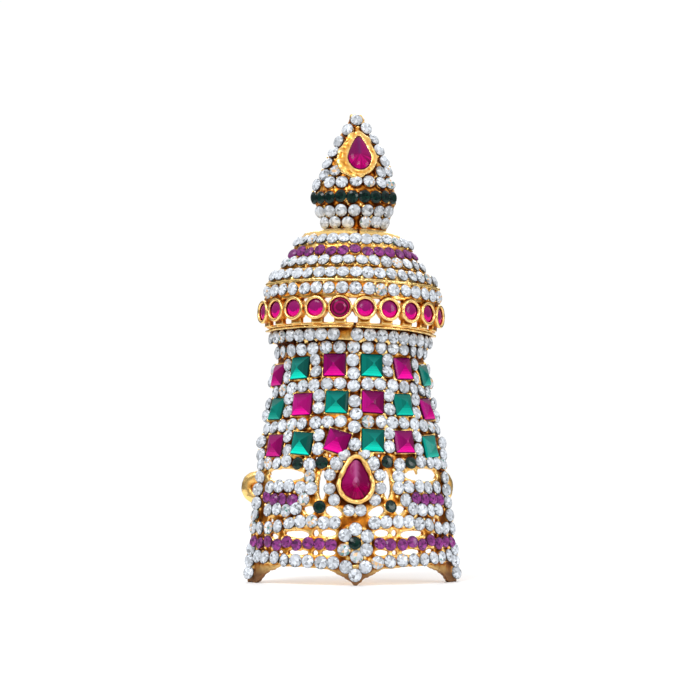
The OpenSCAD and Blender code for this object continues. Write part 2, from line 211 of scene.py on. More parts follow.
# The cast metal: gilded brass, cast in pieces that are soldered together. The skin of each piece is
# fused from its solid, the cups and the grains that hold the stones, then smoothed as a casting
# from wax is. Its colour is painted light: a painted highlight of pale gold on raised edges, and
# painted shade, brown, in hollows and round the stones.

def lofted(frames, rings):
    """One closed shell at each frame: rings [outline, height] are joined one to the next, and
    the first and last are closed. A ring's point is right * x + up * y + out * height."""
    outline = np.stack([np.asarray(r[0], float) for r in rings])
    height = np.array([r[1] for r in rings], float)
    count, levels, sides = len(frames), len(rings), outline.shape[1]
    local = np.concatenate([outline, np.broadcast_to(height[:, None, None],
                                                     (levels, sides, 1))], 2)
    points = frames[:, None, None, 0] + np.einsum("lsk,nkx->nlsx", local, frames[:, 1:])
    n, k, s = np.meshgrid(np.arange(count), np.arange(levels - 1), np.arange(sides),
                          indexing="ij")
    base = n * levels * sides + k * sides
    after = (s + 1) % sides
    quads = np.stack([base + s, base + after, base + sides + after, base + sides + s], -1)
    first = np.arange(count)[:, None] * levels * sides + np.arange(sides)[::-1]
    last = np.arange(count)[:, None] * levels * sides + (levels - 1) * sides + np.arange(sides)
    return points.reshape(-1, 3), quads.reshape(-1, 4).tolist() + first.tolist() + last.tolist()


def circle(radius, sides=16):
    """Outline of a circle, which starts half a step on from its right."""
    turn = (np.arange(sides) + 0.5) * 2 * np.pi / sides
    return radius * np.stack([np.cos(turn), np.sin(turn)], 1)


def cups(frames, radius, rim=0.26, wall=0.1, floor=0.85):
    """Shallow cups under the stones, which hide them from the front."""
    return lofted(frames, [[circle(radius + wall), -floor], [circle(radius + wall), rim - 0.1],
                           [circle(radius), rim], [circle(radius - 0.12), 0.02],
                           [circle(radius - 0.2), 0.0]])


def beads(origin, out, size):
    """Small round grains."""
    level = np.linspace(-1, 1, 7)
    return lofted(framed(origin, out), [[circle(size * np.sqrt(max(1 - v * v, 0.02)), 8), size * v]
                                        for v in level])


# Gaps cut through the skirt on both sides: [across, height, width, height of the gap]
GAPS = np.array([[14, 19.75, 9.2, 2.4], [6, 18.0, 1.5, 5.6], [8.7, 13.5, 2.3, 1.5],
                 [3.9, 13.2, 3.3, 1.7], [17.1, 11.4, 1.4, 0.9], [7.1, 22.8, 0.7, 0.6],
                 [4.6, 23.3, 0.6, 0.7], [4.9, 9.35, 2.9, 1.25], [7.3, 9.35, 1.1, 1.25],
                 [11.2, 9.1, 5.4, 1.25], [16.2, 8.6, 2.2, 1.0], [4.9, 5.85, 2.7, 0.95],
                 [7.4, 5.85, 1.0, 0.9], [10.8, 5.85, 4.4, 0.95], [15.2, 5.9, 2.4, 0.8]])
# Nothing is cut through above this height
SKIRT_TOP = 30


def grains_between(frames, reach=2.75, side=0.95, lift=0.12, size=0.24, share=0.6, seed=5,
                   squares=None, off_stone=1.18, off_gap=0.35, off_square=2.6):
    """A share of the grains on both sides of the line from each stone to each near neighbour, and
    none on a stone, over a gap of the skirt or on a square."""
    middle, out = frames[:, 0], frames[:, 3]
    first, second = np.triu_indices(len(frames), 1)
    way = middle[second] - middle[first]
    near = np.linalg.norm(way, axis=1) < reach
    first, second, way = first[near], second[near], way[near]
    normal = out[first] + out[second]
    normal /= np.linalg.norm(normal, axis=1)[:, None]
    aside = np.cross(normal, way)
    aside *= side / np.linalg.norm(aside, axis=1)[:, None]
    half = (middle[first] + middle[second]) / 2 + normal * lift
    spots = np.concatenate([half + aside, half - aside])
    normals = np.concatenate([normal, normal])
    chance = np.random.default_rng(seed)
    clear = np.linalg.norm(spots[:, None] - middle[None], axis=2).min(1) > off_stone
    clear &= chance.random(len(spots)) < share
    across = np.abs(np.arctan2(spots[:, 0], -spots[:, 1])) * wall_radius(spots[:, 2])
    from_gap = ((across[:, None] - GAPS[:, 0]) / (GAPS[:, 2] / 2 + off_gap)) ** 2 \
        + ((spots[:, 2:] - GAPS[:, 1]) / (GAPS[:, 3] / 2 + off_gap)) ** 2
    clear &= (from_gap > 1).all(1) | (spots[:, 2] > SKIRT_TOP)
    if squares is not None:
        clear &= np.linalg.norm(spots[:, None] - squares[None, :, 0], axis=2).min(1) > off_square
    return beads(spots[clear], normals[clear], size)


def swept(frames, outline, middle, wide, high, lift, sides=12):
    """Bars bent round a closed outline: oval sections, `wide` and `high`, each `middle` out from
    the outline and `lift` above its plane. Any of them may change along the outline."""
    ahead = np.roll(outline, -1, 0) - np.roll(outline, 1, 0)
    normal = np.stack([ahead[:, 1], -ahead[:, 0]], 1) / np.linalg.norm(ahead, axis=1)[:, None]
    turn = np.arange(sides) * 2 * np.pi / sides
    middle, wide, high, lift = (np.broadcast_to(v, len(outline))[:, None]
                                for v in (middle, wide, high, lift))
    flat = outline[:, None] + normal[:, None] * (middle + wide * np.cos(turn))[..., None]
    local = np.concatenate([flat, (lift + high * np.sin(turn))[..., None]], 2)
    points = frames[:, None, None, 0] + np.einsum("osk,nkx->nosx", local, frames[:, 1:])
    n, o, k = np.meshgrid(np.arange(len(frames)), np.arange(len(outline)), np.arange(sides),
                          indexing="ij")
    base, after = n * len(outline) * sides, (o + 1) % len(outline)
    other = (k + 1) % sides
    quads = np.stack([base + o * sides + k, base + after * sides + k,
                      base + after * sides + other, base + o * sides + other], -1)
    return points.reshape(-1, 3), quads.reshape(-1, 4).tolist()


def waves(points, length, count=40, seed=1):
    """A smooth random height at each point: the mean of plane waves in random directions."""
    chance = np.random.default_rng(seed)
    direction = chance.normal(size=(count, 3))
    direction *= 2 * np.pi / length / np.linalg.norm(direction, axis=1)[:, None]
    direction *= chance.uniform(0.6, 1.4, (count, 1))
    return np.sin(points @ direction.T + chance.uniform(0, 2 * np.pi, count)).sum(1) \
        / np.sqrt(count / 2)


def placed(name, data):
    """A new object with its data, put into the scene."""
    made = bpy.data.objects.new(name, data)
    bpy.context.collection.objects.link(made)
    return made


def fused(shells, voxel, faces, smooth=3):
    """Shells in millimetres made one skin by a voxel remesh, thinned to a number of triangles and
    smoothed."""
    mesh = bpy.data.meshes.new("fused")
    points, polygons, start = [], [], 0
    for corners, sides in shells:
        points.append(corners)
        polygons += [[i + start for i in f] for f in sides]
        start += len(corners)
    mesh.from_pydata(np.concatenate(points).tolist(), [], polygons)
    block = placed("fused", mesh)
    remesh = block.modifiers.new("skin", "REMESH")
    remesh.mode, remesh.voxel_size = "VOXEL", voxel
    smoothing = block.modifiers.new("smooth", "SMOOTH")
    smoothing.factor, smoothing.iterations = 0.5, smooth
    skin = bpy.data.meshes.new_from_object(
        block.evaluated_get(bpy.context.evaluated_depsgraph_get()))
    full = len(skin.polygons) * 2
    if full > faces:
        thin = block.modifiers.new("thin", "DECIMATE")
        thin.ratio = faces / full
        skin = bpy.data.meshes.new_from_object(
            block.evaluated_get(bpy.context.evaluated_depsgraph_get()))
    bpy.data.objects.remove(block)
    return skin


def corners_of(mesh):
    """Corners of a mesh as an array [corner, xyz]."""
    corners = np.zeros(len(mesh.vertices) * 3)
    mesh.vertices.foreach_get("co", corners)
    return corners.reshape(-1, 3)


def normals_of(mesh):
    """Normals at a mesh's corners."""
    normals = np.zeros(len(mesh.vertices) * 3)
    mesh.vertices.foreach_get("normal", normals)
    return normals.reshape(-1, 3)


def hollows_of(mesh, rounds=6):
    """How hollow the skin is at each corner: the way from the corner to its neighbours' mean,
    along the normal, averaged over the neighbours a few times. Hollows are above zero."""
    edges = np.zeros(len(mesh.edges) * 2, int)
    mesh.edges.foreach_get("vertices", edges)
    edges = edges.reshape(-1, 2)
    corners, count = corners_of(mesh), np.bincount(edges.ravel(), minlength=len(mesh.vertices))
    count = np.maximum(count, 1)

    def mean(values):
        """Mean of the values at each corner's neighbours."""
        total = np.zeros_like(values)
        np.add.at(total, edges[:, 0], values[edges[:, 1]])
        np.add.at(total, edges[:, 1], values[edges[:, 0]])
        return total / (count[:, None] if values.ndim > 1 else count)

    flat = corners
    for _ in range(rounds):
        flat = mean(flat)
    depth = ((flat - corners) * normals_of(mesh)).sum(1)
    for _ in range(4):
        depth = mean(depth)
    return depth


def shade_of(corners, seats):
    """How deep each corner lies in the narrow dark space round a stone: 1 at a stone's edge and
    below its girdle, 0 from 1.5 mm off its middle on, and 0 on the wall's inner side."""
    shade = np.zeros(len(corners))
    for seat in seats:
        near = np.flatnonzero(np.abs(corners - seat[0]).max(1) < 1.6)
        way = corners[near] - seat[0]
        level = way @ seat[3]
        away = np.sqrt(np.maximum((way ** 2).sum(1) - level ** 2, 0))
        deep = np.clip((1.46 - away) / 0.24, 0, 1) * np.clip((0.22 - level) / 0.2, 0, 1)
        shade[near] = np.maximum(shade[near], deep * np.clip((level + 1) / 0.3, 0, 1))
    return shade


# The height of all, and of a seam's notch its depth, the width of its slope and its rearmost y
CROWN_HEIGHT, NOTCH_DEPTH, NOTCH_SLOPE, NOTCH_BACK = 88.9, 0.35, 0.14, -5
# The depth in millimetres at which a hollow's painted shade is darkest, and the weight of the
# painted shade at stones
DEEPEST, STONE_SHADE = 0.075, 0.4


def metal_piece(name, skin, nodes, seats, dent=0.035, bright=0.0, seam=(0, 0, 0, 0)):
    """A skin in millimetres becomes a gilded piece in metres that stands for its solids. It gets
    small dents, and an attribute of painted light, which the gilding's colour follows: painted
    shade in hollows and in the narrow spaces round the stones, and a painted highlight on raised
    edges; `bright` makes all of it paler, with less painted shade. A seam [across, half width,
    from height, to height] is a notch at the front, painted dark as shade in it."""
    corners, normals = corners_of(skin), normals_of(skin)
    corners = corners + normals * (dent * (0.6 * waves(corners, 2.4, seed=3)
                                           + 0.4 * waves(corners, 0.9, seed=4)))[:, None]
    corners[:, 2] = np.clip(corners[:, 2], 0, CROWN_HEIGHT)
    middle, half_width, low, high = seam
    notch = np.clip((half_width - np.abs(corners[:, 0] - middle)) / NOTCH_SLOPE, 0, 1)
    notch *= (corners[:, 1] < NOTCH_BACK) & (corners[:, 2] > low) & (corners[:, 2] < high)
    corners[:, 1] += NOTCH_DEPTH * notch
    skin.vertices.foreach_set("co", corners.ravel())
    skin.update()
    # Painted shade in hollows and round the stones, and a painted highlight on raised edges
    hollow = hollows_of(skin) / DEEPEST + STONE_SHADE * shade_of(corners, seats) - bright
    hollow = np.clip(hollow, -1, 1)
    # The seam's notch is painted darkest, as shade in it
    hollow += (1 - hollow) * notch
    skin.attributes.new("hollow", "FLOAT", "POINT").data.foreach_set(
        "value", hollow.astype(np.float32))
    skin.vertices.foreach_set("co", (corners * 0.001).ravel())
    skin.update()
    skin.shade_smooth()
    skin.name = name
    skin.materials.clear()
    skin.materials.append(gilding)
    piece = placed(name, skin)
    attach(piece, "root")
    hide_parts(*nodes)


def shader(name):
    """A new material with its nodes, links and surface shader."""
    made = bpy.data.materials.new(name)
    made.use_nodes = True
    nodes, links = made.node_tree.nodes, made.node_tree.links
    return made, nodes, links, nodes["Principled BSDF"]


def added(nodes, kind, settings=(), operation=None):
    """A new shader node, with some of its inputs set."""
    made = nodes.new(kind)
    if operation:
        made.operation = operation
    for socket, value in dict(settings).items():
        made.inputs[socket].default_value = value
    return made


def colour_sockets(sockets):
    """Of the sockets of a mix node, those that carry colours."""
    return [socket for socket in sockets if socket.type == "RGBA"]


def linear(*screen):
    """Scene colour of a screen colour from 0 to 255."""
    value = np.array(screen, float) / 255
    return np.where(value <= 0.04045, value / 12.92, ((value + 0.055) / 1.055) ** 2.4)


# Gilding: the attribute of painted shade and highlight, stirred by a cloudy noise, gives the colour
# and the roughness
gilding, nodes, links, surface = shader("gilding")
surface.inputs["Metallic"].default_value = 1.0
place = nodes.new("ShaderNodeTexCoord")
hollow = nodes.new("ShaderNodeAttribute")
hollow.attribute_name = "hollow"
span = added(nodes, "ShaderNodeMapRange", {"From Min": -1.0})
links.new(hollow.outputs["Fac"], span.inputs["Value"])
cloud = added(nodes, "ShaderNodeTexNoise", {"Scale": 420, "Detail": 3})
links.new(place.outputs["Object"], cloud.inputs["Vector"])
stir = added(nodes, "ShaderNodeMath", {1: 0.34}, "MULTIPLY_ADD")
links.new(cloud.outputs["Fac"], stir.inputs[0])
links.new(span.outputs["Result"], stir.inputs[2])
shift = added(nodes, "ShaderNodeMath", {1: 0.17}, "SUBTRACT")
links.new(stir.outputs["Value"], shift.inputs[0])
# The ramp: pale gold as a painted highlight on raised edges, down to dark brown as painted shade in
# hollows
ramp = nodes.new("ShaderNodeValToRGB")
steps = ramp.color_ramp.elements
steps[0].position, steps[0].color = 0.28, (*linear(255, 214, 136), 1)
steps[1].position, steps[1].color = 0.84, (*linear(78, 34, 8), 1)
for position, colour in ((0.46, (236, 174, 84)), (0.57, (200, 122, 36)), (0.70, (138, 72, 18))):
    steps.new(position).color = (*linear(*colour), 1)
links.new(shift.outputs["Value"], ramp.inputs["Fac"])
# Bare, duller bronze shows at the hem and feet
height = nodes.new("ShaderNodeSeparateXYZ")
links.new(place.outputs["Object"], height.inputs["Vector"])
low = added(nodes, "ShaderNodeMapRange", {"From Min": 0.0042, "From Max": 0.0016})
links.new(height.outputs["Z"], low.inputs["Value"])
worn = nodes.new("ShaderNodeMix")
worn.data_type = "RGBA"
links.new(low.outputs["Result"], worn.inputs["Factor"])
links.new(ramp.outputs["Color"], colour_sockets(worn.inputs)[0])
colour_sockets(worn.inputs)[1].default_value = (*linear(140, 100, 66), 1)
links.new(colour_sockets(worn.outputs)[0], surface.inputs["Base Color"])
rough = added(nodes, "ShaderNodeMapRange", {"To Min": 0.24, "To Max": 0.46})
links.new(shift.outputs["Value"], rough.inputs["Value"])
duller = added(nodes, "ShaderNodeMath", {1: 0.25}, "MULTIPLY_ADD")
links.new(low.outputs["Result"], duller.inputs[0])
links.new(rough.outputs["Result"], duller.inputs[2])
links.new(duller.outputs["Value"], surface.inputs["Roughness"])
# A fine grain of the cast skin
grain = added(nodes, "ShaderNodeTexNoise", {"Scale": 2200, "Detail": 2})
links.new(place.outputs["Object"], grain.inputs["Vector"])
bump = added(nodes, "ShaderNodeBump", {"Strength": 0.4, "Distance": 0.0001})
links.new(grain.outputs["Fac"], bump.inputs["Height"])
links.new(bump.outputs["Normal"], surface.inputs["Normal"])

# The wall and skirt: one pierced casting, with a low frame and four prongs for each square stone,
# and a rolled rim round the large pear stone. The two tie loops are soldered to its rear edges.
square_frames = on_wall(SQUARE_ROWS[..., 0].ravel(), SQUARE_ROWS[..., 1].ravel())


def turned(frames, degrees):
    """Frames turned about their own out."""
    a = np.radians(degrees)[:, None]
    right = frames[:, 1] * np.cos(a) + frames[:, 2] * np.sin(a)
    up = frames[:, 2] * np.cos(a) - frames[:, 1] * np.sin(a)
    return np.stack([frames[:, 0], right, up, frames[:, 3]], 1)


square_frames = turned(square_frames, SQUARE_ROWS[..., 2].ravel())


def square(side):
    """Outline of a square."""
    return side / 2 * np.array([[1, -1], [1, 1], [-1, 1], [-1, -1]])


PEAR_SIDES = 64


def pear(width, up, down, drawn, sides=PEAR_SIDES):
    """Outline of a pear: an oval whose upper half is drawn in to a point, more or less. `up` and
    `down` are the reach of the point and of the round end, as shares of half the width."""
    turn = np.arange(sides) * 2 * np.pi / sides - np.pi / 2
    rise = np.maximum(np.sin(turn), 0)
    return width / 2 * np.stack([np.cos(turn) * (1 - drawn * rise), down * np.minimum(
        np.sin(turn), 0) + rise * (1 + (up - 1) * rise)], 1)


def seat_at(x, degrees, z, radius, lean):
    """One frame at an angle from the front, leaning up by some degrees."""
    angle, lean = np.radians(degrees), np.radians(lean)
    return framed(np.array([[x + radius * np.sin(angle), -radius * np.cos(angle), z]]),
                  np.array([[np.sin(angle) * np.cos(lean), -np.cos(angle) * np.cos(lean),
                             np.sin(lean)]]))


PEAR_Z, PEAR_WIDTH = 18.1, 5.8
pear_seat = seat_at(0.15, 0, PEAR_Z, wall_radius(PEAR_Z) + 0.1, lean=10.5)
pear_outline = pear(PEAR_WIDTH, up=1.66, down=1.08, drawn=0.2)
lap = np.arange(PEAR_SIDES) * 2 * np.pi / PEAR_SIDES
pear_rim = swept(pear_seat, pear_outline, middle=0.20 + 0.05 * np.sin(3 * lap),
                 wide=0.47 + 0.03 * np.sin(11 * lap), high=0.42,
                 lift=1.0 + 0.06 * np.sin(5 * lap + 1) + 0.03 * np.sin(15 * lap))

on_skirt = [fields[n] for n in ("ring_whites", "wall_whites", "wall_extra", "pear_ring",
                                "edge_whites", "skirt_greens")]
wall_seats = np.concatenate(on_skirt + [fields["skirt_purples"]])
square_rims = lofted(square_frames, [[square(SQUARE_SIDE + 0.25), -0.9],
                                     [square(SQUARE_SIDE + 0.25), 0.12],
                                     [square(SQUARE_SIDE + 0.05), 0.3],
                                     [square(SQUARE_SIDE - 0.2), -0.05]])
PRONG_SIZE, reach = 0.3, SQUARE_SIDE / 2 + 0.05
at_corners = np.array([[reach, reach], [-reach, reach], [-reach, -reach], [reach, -reach]])
prongs = (square_frames[:, None, 0] + np.einsum("ck,nkx->ncx", at_corners, square_frames[:, 1:3])
          + square_frames[:, None, 3] * PRONG_SIZE).reshape(-1, 3)
# A crooked nub of metal hangs into the right wing gap, and thin webs cross the gaps' ends: grains
# at [across, height]
WEBS = np.array([[12.5, 20.75], [12.45, 20.4], [12.55, 20.05], [17.9, 20.6], [18.1, 20.1],
                 [18.3, 19.6], [-18.2, 20.4], [-18.0, 19.9], [9.9, 20.6], [10.0, 20.3]])
webs = on_wall(WEBS[:, 0], WEBS[:, 1], lift=-0.35)
# The left loop is thickest round its eye
stout = swept(framed(np.array([[-17.7, -7.045, 17.4]]), np.array([[-0.342, -0.94, 0]])),
              circle(1.85, 32), middle=0.0, wide=1.2, high=0.85, lift=0.0)
WHITE_CUP, PURPLE_CUP = 1.0, 0.9
wall_skin = fused(
    [solid("body_casting"), solid("tie_loop_left"), solid("tie_loop_right"), square_rims, pear_rim,
     stout, beads(webs[:, 0], webs[:, 3], PRONG_SIZE),
     beads(prongs, np.repeat(square_frames[:, 3], 4, 0), PRONG_SIZE),
     grains_between(wall_seats, squares=square_frames)]
    + [cups(f, WHITE_CUP) for f in on_skirt] + [cups(fields["skirt_purples"], PURPLE_CUP)],
    voxel=0.19, faces=190000)
# The hem is rough, and filed thin between its point and its feet
ROUGHNESS, FILED_AWAY = 0.06, 0.36
hem = corners_of(wall_skin)
across = np.abs(np.arctan2(hem[:, 0], -hem[:, 1])) * wall_radius(hem[:, 2])
hem += normals_of(wall_skin) * (ROUGHNESS * waves(hem, 0.9, seed=6)
                                * np.clip((3.2 - hem[:, 2]) / 0.8, 0, 1))[:, None]
hem[:, 2] += FILED_AWAY * (np.clip((across - 3) / 2, 0, 1) * np.clip((16.6 - across) / 2, 0, 1)
                           * np.clip((3.8 - hem[:, 2]) / 0.7, 0, 1))
wall_skin.vertices.foreach_set("co", hem.ravel())
wall_skin.update()
metal_piece("cast_wall", wall_skin, ["body_casting", "tie_loop_left", "tie_loop_right"],
            wall_seats, bright=0.02, seam=(0.12, 0.38, 46.3, 47.6))
# The rolled rim of the pear stone, which lies in an oval round its seat, is a deeper gold than
# other raised edges: its painted highlight and painted shade are drawn in towards a mid gold
RIM_REACH, RIM_LENGTH = 3.9, 1.35
rim = (corners_of(wall_skin) * 1000 - pear_seat[0, 0]) @ pear_seat[0, 1:].T
on_rim = (np.linalg.norm(rim, axis=1) < 6) & (rim[:, 2] > 0.35)
on_rim &= np.hypot(rim[:, 0], rim[:, 1] / RIM_LENGTH) < RIM_REACH
tone = np.zeros(len(rim), np.float32)
wall_skin.attributes["hollow"].data.foreach_get("value", tone)
# On the rim the painted highlight is weakened most, the painted shade a little
wall_skin.attributes["hollow"].data.foreach_set(
    "value", np.where(on_rim, 0.45 * tone + 0.15, tone).astype(np.float32))

# The gallery: a casting of two rails with ten cups between them, soldered to the ring on the wall.
# The cups' rims are rolled over the rubies. The fifth cup has a thinner rim and a wider stone.
FIFTH, RUBIES = 4, 10
rubies = np.concatenate([seats_of(f"ruby_{i + 1}", middle=0.5) for i in range(RUBIES)])
common = np.arange(RUBIES) != FIFTH
rims = [swept(rubies[common], circle(1.9, 40), middle=0.0, wide=0.34, high=0.36, lift=0.95),
        swept(rubies[~common], circle(2.05, 40), middle=0.0, wide=0.22, high=0.34, lift=0.95)]
metal_piece("cast_gallery",
            fused([solid("ruby_gallery")] + rims, voxel=0.13, faces=150000, smooth=6),
            ["ruby_gallery"], rubies[:0], dent=0.02, seam=(0.12, 0.3, 47, 48.4))

# The stepped dome with its collar: one casting, soldered to the gallery's upper rail. Rows of white
# and purple stones stand between its ledges.
dome_seats = np.concatenate([fields["dome_whites"], fields["dome_purples"]])
metal_piece("cast_dome", fused([solid("dome_casting"), cups(fields["dome_whites"], WHITE_CUP),
                                cups(fields["dome_purples"], PURPLE_CUP),
                                grains_between(dome_seats, reach=2.5)], voxel=0.15, faces=150000),
            ["dome_casting"], dome_seats, bright=0.46, seam=(1.19, 0.28, 64.9, 67.5))

# The bud on top: a hollow casting, soldered to the dome's collar by its foot. Its hammered setting
# is widest and slopes at the lower left, and its tip is cast in lumps.
BUD_SHIFT = 0.9
finial_pear_seat = seat_at(BUD_SHIFT, 5, 79.6, 6.2, lean=20)
small_outline = pear(4.7, up=1.8, down=1.28, drawn=0.24)
leftness = -small_outline[:, 0] / 2.2 * np.clip(0.8 - 0.22 * small_outline[:, 1], 0.25, 1.3)
hammered = 0.08 * np.sin(7 * lap + 2.5) + 0.07 * np.sin(13 * lap)
setting = swept(finial_pear_seat, small_outline, middle=0.66 + 0.42 * leftness + hammered,
                wide=0.74 + 0.40 * leftness, high=0.42 + hammered + 0.03 * np.sin(21 * lap),
                lift=0.30 + 0.05 * leftness + 0.04 * np.sin(17 * lap))
finial_seats = np.concatenate([fields["finial_whites"], fields["finial_greens"]])
lumps = beads(np.array([[0.4, -0.8, 88.35], [1.85, -0.9, 88.25], [2.1, -1.1, 87.6],
                        [2.3, -1.4, 86.9]]), np.array([[0, -1, 0.0]] * 4), size=0.6)
bearing = np.radians(np.linspace(-67, 67, 24))
arc = np.stack([np.sin(bearing), -np.cos(bearing)], 1)
foot = lofted(np.array([[[BUD_SHIFT, 0, 0], [1, 0, 0], [0, 1, 0], [0, 0, 1.0]]]),
              [[np.concatenate([arc * 6.4, arc[::-1] * 5.3]), height] for height in (65.8, 66.8)])
metal_piece("cast_finial", fused([solid("finial_casting"), cups(finial_seats, WHITE_CUP), setting,
                                  lumps, foot, grains_between(finial_seats, reach=2.6)],
                                 voxel=0.13, faces=150000),
            ["finial_casting"], finial_seats, dent=0.05, bright=-0.04)


# The small white stones: machine-cut round glass with a foil back, glued into the cups. Each one is
# turned and tipped a little differently. Those of the large pear stone's ring are smaller.

def jittered(frames, tip, seed):
    """Frames turned freely about out and tipped by a few degrees."""
    chance = np.random.default_rng(seed)
    lean = np.radians(chance.normal(0, tip, (len(frames), 2)))
    out = frames[:, 3] + frames[:, 1] * lean[:, :1] + frames[:, 2] * lean[:, 1:]
    out /= np.linalg.norm(out, axis=1)[:, None]
    return turned(framed(frames[:, 0], out), chance.uniform(0, 360, len(frames)))


def round_stones(frames, radius, height=0.76):
    """Corners [stone, corner, xyz] and faces of round cut stones: a girdle of sixteen corners with
    a narrow chamfer, a table of eight corners, and a point in its middle."""
    sixteen, eight = circle(radius, 16), circle(radius * 0.6, 8)
    local = np.concatenate([np.c_[sixteen * 0.88, np.full(16, 0.0)],
                            np.c_[sixteen, np.full(16, height * 0.5)],
                            np.c_[sixteen * 0.945, np.full(16, height * 0.6)],
                            np.c_[eight, np.full(8, height * 0.95)], [[0, 0, height]]])
    points = frames[:, None, 0] + np.einsum("sk,nkx->nsx", local, frames[:, 1:])
    i, j = np.arange(16), np.arange(8)
    ahead, odd, even, following = (i + 1) % 16, 2 * j + 1, (2 * j + 2) % 16, (j + 1) % 8
    # circle() starts half a step on, so table corner j lies between girdle corners 2j and 2j + 1
    bands = [np.stack([low + i, low + ahead, low + 16 + ahead, low + 16 + i], 1)
             for low in (0, 16)]
    upper = [np.stack([32 + 2 * j, 32 + odd, 48 + j], 1),
             np.stack([32 + odd, 32 + even, 48 + following], 1),
             np.stack([32 + odd, 48 + following, 48 + j], 1),
             np.stack([48 + j, 48 + following, np.full(8, 56)], 1)]
    faces = [face for part in bands + upper for face in part.tolist()]
    return points, faces + [list(range(15, -1, -1))]


# The facets in this order: girdle and chamfer, slope, those that reach the table, the table
EDGE, SLOPE, REACHING, TABLE = slice(32), slice(32, 48), slice(48, 56), slice(56, 64)


def domed_stones(frames, outline, levels, apex):
    """Corners and faces of stones with an outline, cut in rings [scale, height] up to one point
    in the middle at the height apex, and each facet's middle as [right, up] in the stone's own
    plane."""
    sides = len(outline)
    local = np.concatenate([np.c_[outline * scale, np.full(sides, high)] for scale, high in levels]
                           + [[[0, 0, apex]]])
    points = frames[:, None, 0] + np.einsum("sk,nkx->nsx", local, frames[:, 1:])
    side = np.arange(sides)
    after = (side + 1) % sides
    rings = np.concatenate([np.stack([low + side, low + after, low + sides + after,
                                      low + sides + side], 1)
                            for low in np.arange(len(levels) - 1) * sides])
    top = (len(levels) - 1) * sides
    fan = np.stack([top + side, top + after, np.full(sides, len(local) - 1)], 1)
    middles = np.concatenate([local[rings].mean(1), local[fan].mean(1), [[0, 0, 0]]])[:, :2]
    return points, rings.tolist() + fan.tolist() + [side[::-1].tolist()], middles


def stone_piece(name, points, faces, colours, material, nodes):
    """Many like stones in one mesh, with a colour for each facet of each stone."""
    count, corners = points.shape[:2]
    polygons = [[i + k * corners for i in f] for k in range(count) for f in faces]
    mesh = bpy.data.meshes.new(name)
    mesh.from_pydata((points.reshape(-1, 3) * 0.001).tolist(), [], polygons)
    mesh.attributes.new("facet", "FLOAT_COLOR", "FACE").data.foreach_set(
        "color", np.concatenate([colours, np.ones(colours.shape[:2] + (1,))], 2)
        .astype(np.float32).ravel())
    mesh.materials.append(material)
    piece = placed(name, mesh)
    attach(piece, "root")
    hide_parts(*nodes)


def glass(name, roughness=0.1, shine=0.5):
    """Foil-backed glass: the colour of each facet, in which light and shade are painted, under a
    clear gloss.
    """
    made, nodes, links, surface = shader(name)
    facet = nodes.new("ShaderNodeAttribute")
    facet.attribute_name = "facet"
    links.new(facet.outputs["Color"], surface.inputs["Base Color"])
    surface.inputs["Roughness"].default_value = roughness
    surface.inputs["Specular IOR Level"].default_value = shine
    return made


def slants(points, faces):
    """How far each facet of each stone lies towards the upper left of the stone: -1 to 1."""
    middle = np.stack([points[:, f].mean(1) for f in faces], 1)
    way = middle - points.mean(1)[:, None]
    way = way @ np.array([-0.55, 0, 0.83])
    return way / np.abs(way).max(1, keepdims=True)


def pale_facets(points, faces, seed, base):
    """Colours of the white stones: greys about a base that differ by facet as painted reflections,
    a little paler towards the upper left as painted light, an edge painted dark as shade that is
    darkest at the lower right, some dim glints, and here and there a painted glint of gold or
    green."""
    chance = np.random.default_rng(seed)
    slant = slants(points, faces)
    stone = chance.uniform(-0.07, 0.07, (len(points), 1))
    # Painted light: a little paler towards the upper left, with painted reflections that differ by
    # facet
    grey = base + stone + 0.02 * slant + chance.uniform(-0.28, 0.20, slant.shape)
    # Painted light by facet: the slope darker, the facets that reach the table paler
    grey[:, SLOPE] -= 0.07
    grey[:, REACHING] += 0.12
    grey[:, TABLE] = 0.77 + stone + chance.uniform(-0.27, 0.17, (len(grey), 8))
    dim = chance.random(grey.shape)
    grey = np.where(dim < 0.03, 0.2, np.where(dim < 0.20, grey * 0.62, grey))
    # The edge is painted shade, darkest at the lower right
    grey[:, EDGE] = 0.15 + 0.11 * slant[:, EDGE]
    colour = np.clip(grey, 0.03, 0.98)[..., None] * [0.88, 0.93, 1.0]
    # Painted reflections: on a few stones some facets glint with the gold's colour, or green
    glint_draw = chance.random(grey.shape) + 1.0 * (chance.random((len(grey), 1)) > 0.13)
    colour = np.where((glint_draw < 0.12)[..., None], linear(222, 182, 136), colour)
    return np.where(((glint_draw > 0.93) & (glint_draw < 1))[..., None], linear(104, 146, 140), colour)


# Fields, radius of the stones, their grey and a seed
WHITES = [(("ring_whites", "wall_whites", "wall_extra", "edge_whites"), 1.24, 0.67, 11),
          (("dome_whites",), 1.21, 0.72, 13), (("finial_whites",), 1.22, 0.73, 15),
          (("pear_ring",), 1.12, 0.67, 17)]
points, colours = [], []
for names, radius, base, seed in WHITES:
    seats = jittered(np.concatenate([fields[n] for n in names]), tip=6, seed=seed)
    stones, faces = round_stones(seats, radius)
    points.append(stones)
    colours.append(pale_facets(stones, faces, seed + 1, base))
stone_piece("white_stones", np.concatenate(points), faces, np.concatenate(colours),
            glass("clear glass", 0.12, 0.35),
            ["ring_whites", "wall_whites", "dome_whites", "finial_whites"])

# Purple stones of the same cut, in rows on the dome and the skirt, and a few of very dark green
# glass on the bud and round the large pear stone.
PURPLE_R, GREEN_R = 1.13, 1.2


